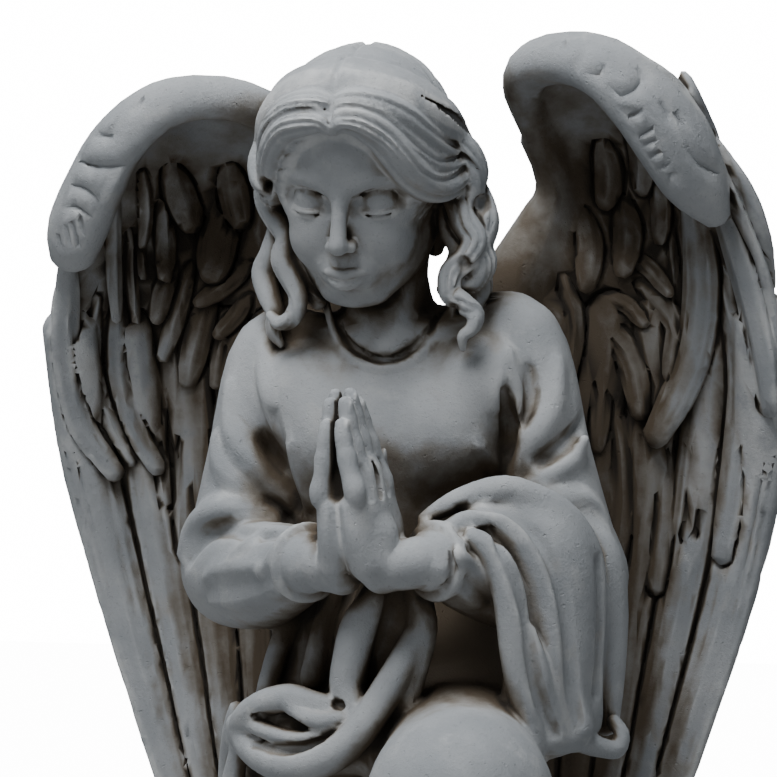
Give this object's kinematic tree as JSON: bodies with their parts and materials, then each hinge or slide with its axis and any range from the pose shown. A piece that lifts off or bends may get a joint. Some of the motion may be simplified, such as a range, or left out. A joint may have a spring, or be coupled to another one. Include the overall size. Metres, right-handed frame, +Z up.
{
  "type": "kneeling angel statue",
  "caption": "Kneeling winged angel with praying hands, long robe and draped mantle, cast in one piece with a low base, for standing on a grave or in a garden.",
  "frame": {"origin": "middle of the flat underside of the base, at the mount underside", "axes": "+Z up, the angel looks along -Y, its left hand and raised left knee are on the +X side"},
  "size_m": [0.6098, 0.5065, 0.906],
  "materials": {
    "cast_stone": "matt blue-grey cast stone, fine grained with small pits, brown weathering in the hollows"
  },
  "bodies": {
    "root": {"praying_angel": "cast_stone"}
  },
  "joints": []
}
